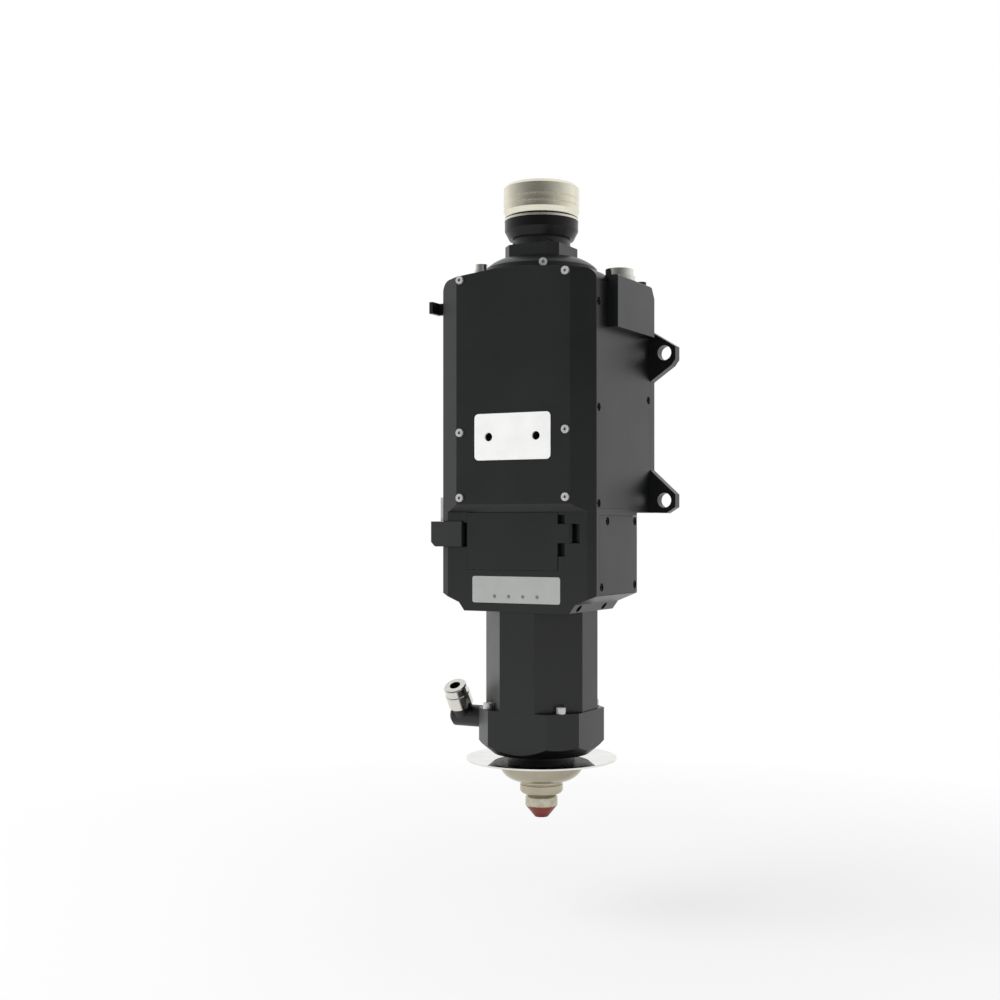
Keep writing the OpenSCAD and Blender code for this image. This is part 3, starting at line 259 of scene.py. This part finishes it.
def moulded(name, colour, roughness, grain=1800, relief=0.1, gloss=0.5):
    """Plastic, rubber, ceramic or black oxide with a fine matt grain."""
    g = Surface(name)
    tone = srgb(colour)
    cloud = g.noise(scale=45, detail=4)
    skin = g.noise(grain, detail=3)
    g.set(Base_Color=g.mix(g.spread(cloud, 0, 1), shade(tone, 0.92), tone),
          Roughness=g.spread(skin, roughness - 0.06, roughness + 0.06),
          Normal=g.bump(skin, strength=relief, depth=GRAIN_DEPTH, normal=g.rounding(radius=0.25)),
          Specular_IOR_Level=gloss)
    return g.material


def clear(name, colour):
    """Polished glass with a thin coating that tints it."""
    g = Surface(name)
    g.set(Base_Color=srgb(colour), Transmission_Weight=1.0, IOR=1.46,
          Roughness=g.span(g.noise(scale=90, detail=3), 0.4, 0.75, 0.01, 0.05))
    return g.material


# Heights above the nozzle tip, in mm: the plating ends between the first two, and heat shows below the last
PLATING_ENDS = 10.6
COPPER_STARTS = 10.0
HEAT_REACH = 5.5


def nozzle_metal(name):
    """A plated nozzle whose tip is bare copper, darkened by heat."""
    g = Surface(name)
    height = g.height()
    ragged = g.math("ADD", height, g.spread(g.noise(scale=700, detail=3), -0.4 * MM, 0.4 * MM))
    bare = g.span(ragged, (TIP_Z + PLATING_ENDS) * MM, (TIP_Z + COPPER_STARTS) * MM, 0, 1)
    burnt = g.span(ragged, (TIP_Z + HEAT_REACH) * MM, TIP_Z * MM, 0, 0.75)
    copper = g.mix(burnt, srgb("84443a"), srgb("5a2a25"))
    stains = g.spread(g.noise(scale=160, detail=3), 0, 1, width=0.3)
    plated = g.mix(stains, srgb("aaa594"), srgb("c2bcab"))
    rings = g.rings(height, scale=3000, detail=2)
    g.set(Base_Color=g.mix(bare, plated, copper),
          Metallic=1.0,
          Roughness=g.math("ADD", g.span(bare, 0, 1, 0.2, 0.36), g.spread(rings, -0.04, 0.05)),
          Normal=g.bump(rings, strength=0.12, depth=MARK_DEPTH, normal=g.rounding(radius=0.3)))
    return g.material


def circuit_board(name):
    """Green lacquer over copper tracks."""
    g = Surface(name)
    tracks = g.add("ShaderNodeTexBrick", {
        "Vector": g.place, "Scale": 90, "Mortar Size": 0.012,
        "Color1": srgb("2b5a40"), "Color2": srgb("2f6044"), "Mortar": srgb("4a8560")}).outputs["Color"]
    g.set(Base_Color=tracks, Roughness=g.spread(g.noise(scale=500, detail=2), 0.3, 0.42))
    return g.material


black = anodised("black_anodised", "0f1311", 0.36)
black_side = anodised("black_panel", "111212", 0.38)
black_turned = turned("black_turned", "090a08", 0.3, metallic=0.0, gloss=0.3)
black_steel = moulded("black_oxide", "0b0b0c", 0.6, grain=2400, relief=0.08, gloss=0.2)
grey = anodised("grey_anodised", "43474a", 0.4, wear=0.3)
machined = bright("machined_aluminium", "9fa3a5", 0.34)
silver_ring = turned("ring_silver", "ece8d6", 0.25, marks=0.2)
# The steel pieces get painted shade in their recesses, such as the sockets of screws
steel = bright("bright_steel", "dcdcd9", 0.4, metallic=0.7, recess_shade=True)
polished = turned("polished_steel", "e6e5e1", 0.03, marks=0.02, edge=0.1)
cone_metal = turned("cone_steel", "ada693", 0.12, marks=0.05)
nut_metal = turned("nut_steel", "b8b09c", 0.22, marks=0.12)
nickel = bright("nickel_plate", "dddbd4", 0.13, mottle=0.93)
brass_metal = bright("brass", "b08a4a", 0.3)
copper_metal = nozzle_metal("nozzle_copper")
white = moulded("white_plate", "f4f4f2", 0.38, grain=900, relief=0.03)
label_grey = moulded("grey_panel", "abadab", 0.4, grain=900, relief=0.03)
lamp = moulded("light_lens", "6f7a70", 0.15, grain=300, relief=0.02)
plastic = moulded("black_plastic", "101010", 0.42)
latch_plastic = moulded("latch_plastic", "242625", 0.42)
rubber = moulded("seal", "d2ccb9", 0.6)
china = moulded("ceramic", "d8d3c4", 0.35, grain=700, relief=0.04)
glass = clear("coated_glass", "dcecf0")
motor_paint = moulded("motor_black", "161618", 0.4)
board = circuit_board("board")

LOOKS = {
    black: ["main_housing", "mounting_lugs", "top_cap", "front_cover", "connector_box", "cable_hook",
            "receiver_base", "window_housing", "compartment_door", "barrel", "sensor_body"],
    black_side: ["right_side_panel", "left_side_panel", "right_window_panel", "left_window_panel"],
    black_turned: ["receiver_collar"],
    black_steel: ["panel_screws", "receiver_screws", "barrel_screws", "adjuster_y", "adjuster_x"],
    grey: ["window_drawers", "lens_holder"],
    machined: ["drive_plate", "collimator_carriage", "centring_base", "cross_slide", "shaft_coupling"],
    silver_ring: ["lock_ring", "index_ring"],
    steel: ["cover_screws", "cap_screw", "shelf_screws", "hinge_pin", "latch_bracket", "gas_stem",
            "guide_rail", "ball_screw", "screw_bearing"],
    polished: ["splash_disc"],
    cone_metal: ["cooling_cone"],
    nut_metal: ["lock_nut"],
    nickel: ["power_socket", "coolant_fittings", "gas_collet"],
    copper_metal: ["nozzle"],
    brass_metal: ["screw_nut"],
    china: ["ceramic_ring"],
    white: ["access_plate"],
    label_grey: ["indicator_panel"],
    lamp: ["indicator_lights"],
    plastic: ["signal_socket", "gas_elbow"],
    latch_plastic: ["door_latch"],
    rubber: ["window_seals"],
    glass: ["protective_windows", "collimator_lens", "focus_lens"],
    motor_paint: ["focus_motor"],
    board: ["control_board"],
}

for material, names in LOOKS.items():
    for name in names:
        mesh = nodes[name].data
        mesh.materials.clear()
        mesh.materials.append(material)


# Socket inserts, with sizes in mm

INSULATOR_SIDES = 48
INSULATOR_CROWN = 0.4
PIN_SIDES = 16
# A pin's rounded end as a share of its radius, and how far a rounded end draws in
PIN_CROWN = 0.6
CROWN_DRAW = 0.7
SMOOTH_BELOW = math.radians(35)
# The box that the record gives for a recess stops this far above its floor
BOX_CLEARANCE = 0.1
OPENINGS = {o["name"]: o["box_m"] for o in frame["record"]["physics"]["openings"]}


def recess_floor(name):
    """The middle of a recess's floor, in m."""
    low, high = OPENINGS[name]
    return Vector(((low[0] + high[0]) / 2, (low[1] + high[1]) / 2, low[2] - BOX_CLEARANCE * MM))


def drum(bm, base, x, y, radius, low, high, sides, crown):
    """A closed upright cylinder whose top edge is bevelled, counted from a base point."""
    rings = []
    for r, z in ((radius, low), (radius, high - crown), (radius - crown * CROWN_DRAW, high)):
        turns = [2 * math.pi * i / sides for i in range(sides)]
        points = [Vector((x + r * math.cos(t), y + r * math.sin(t), z)) for t in turns]
        rings.append([bm.verts.new(base + point * MM) for point in points])
    for lower, upper in zip(rings, rings[1:]):
        for i in range(sides):
            j = (i + 1) % sides
            bm.faces.new((lower[i], lower[j], upper[j], upper[i]))
    bm.faces.new(list(reversed(rings[0])))
    bm.faces.new(rings[-1])


def insert(name, body, recess, radius, thickness, pins, pin_r, pin_h, key):
    """The insulator of a socket with its pins and key, standing on the socket's floor."""
    base = recess_floor(recess)
    bm = bmesh.new()
    drum(bm, base, 0, 0, radius, 0, thickness, INSULATOR_SIDES, INSULATOR_CROWN)
    metal_from = len(bm.faces)
    for x, y in pins:
        drum(bm, base, x, y, pin_r, thickness, thickness + pin_h, PIN_SIDES, pin_r * PIN_CROWN)
    bm.faces.ensure_lookup_table()
    for face in bm.faces[metal_from:]:
        face.material_index = 1
    block = bmesh.ops.create_cube(bm, size=1.0)
    to_place = Matrix.Translation(base + Vector((radius - key / 2, 0, thickness + pin_h / 2)) * MM)
    to_size = Matrix.Diagonal((key * MM, key * MM, pin_h * MM, 1))
    bmesh.ops.transform(bm, matrix=to_place @ to_size, verts=block["verts"])
    data = bpy.data.meshes.new(name)
    bm.to_mesh(data)
    bm.free()
    data.shade_smooth()
    data.set_sharp_from_angle(angle=SMOOTH_BELOW)
    data.materials.append(plastic)
    data.materials.append(brass_metal)
    made = bpy.data.objects.new(name, data)
    scene.collection.objects.link(made)
    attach(made, body)


def pin_circle(radius, count, first):
    """Places of pins on a circle, the first at an angle in degrees."""
    turns = [math.radians(first + i * 360 / count) for i in range(count)]
    return [(radius * math.cos(t), radius * math.sin(t)) for t in turns]


insert("power_insert", "head", "power_socket_recess", radius=9.4, thickness=1.2,
       pins=pin_circle(5.4, 6, 30) + [(0, 0)], pin_r=0.9, pin_h=4.6, key=1.6)
insert("signal_insert", "head", "signal_socket_recess", radius=3.0, thickness=0.8,
       pins=pin_circle(1.7, 4, 45), pin_r=0.4, pin_h=2.4, key=0.8)


# Floor, with its sizes in m apart from the drop below the nozzle tip, in mm

FLOOR_DROP = 90
FLOOR_REACH = 6.0
FLOOR_GREY = 0.93
FLOOR_ROUGHNESS = 0.85
WHITE = 1.0
# The floor is plain near the object, where its shadow falls, and fades to white further out
SHADOW_FROM = 0.15
SHADOW_TO = 0.9
GLOW_IN_SHADOW = 0.55


def floor_material():
    g = Surface("stage_floor")
    g.set(Base_Color=(FLOOR_GREY, FLOOR_GREY, FLOOR_GREY, 1), Roughness=FLOOR_ROUGHNESS)
    glow = g.add("ShaderNodeEmission", {"Color": (WHITE, WHITE, WHITE, 1), "Strength": 1.0}).outputs[0]
    reach = g.length(g.vector("MULTIPLY", g.place, (1, 1, 0)))
    seen = g.math("MAXIMUM", g.camera_rays(), g.mirrored_rays())
    fade = g.math("MULTIPLY", g.span(reach, SHADOW_FROM, SHADOW_TO, GLOW_IN_SHADOW, 1.0), seen)
    blend = g.add("ShaderNodeMixShader", {0: fade, 1: g.shader.outputs[0], 2: glow})
    g.feed(g.tree.nodes["Material Output"].inputs["Surface"], blend.outputs[0])
    return g.material


CORNERS = ((-1, -1), (1, -1), (1, 1), (-1, 1))
floor_mesh = bpy.data.meshes.new("floor")
floor_mesh.from_pydata([(x * FLOOR_REACH, y * FLOOR_REACH, 0) for x, y in CORNERS], [], [(0, 1, 2, 3)])
floor_mesh.materials.append(floor_material())
floor = bpy.data.objects.new("floor", floor_mesh)
floor.location = at(0, 0, -FLOOR_DROP)
scene.collection.objects.link(floor)


# World: white to the camera, an even fill for matt surfaces, and a studio for reflections
# that is white at the sides and behind the object and darkens towards the right front

FILL = 0.6
STUDIO_AXIS = (-0.25, 1, 0)
STUDIO_FRONT = -1.03
STUDIO_BACK = 0.5
STUDIO_DARK = 0.16

world = bpy.data.worlds.new("studio")
scene.world = world
w = Graph(world, "Generated")
studio = w.span(w.dot(w.place, STUDIO_AXIS), STUDIO_FRONT, STUDIO_BACK, STUDIO_DARK, WHITE)
level = w.pick(w.camera_rays(), w.pick(w.mirrored_rays(), FILL, studio), WHITE)
sky = w.tree.nodes["Background"]
w.feed(sky.inputs["Strength"], level)
w.feed(sky.inputs["Color"], (1, 1, 1, 1))


# Key lamp: a square softbox at the upper left front, in m and W

KEY_AIM = at(0, 0, 280)
KEY_FROM = Vector((-0.6, -0.55, 0.58))
KEY_DISTANCE = 1.7
KEY_SIZE = 1.3
KEY_POWER = 20.0

key_data = bpy.data.lights.new("key", "AREA")
key_data.shape = "SQUARE"
key_data.size = KEY_SIZE
key_data.energy = KEY_POWER
key_lamp = bpy.data.objects.new("key", key_data)
key_lamp.location = KEY_AIM + KEY_FROM * KEY_DISTANCE
key_lamp.rotation_euler = (-KEY_FROM).to_track_quat("-Z", "Y").to_euler()
# Reflections come from the studio alone
key_lamp.visible_glossy = False
scene.collection.objects.link(key_lamp)
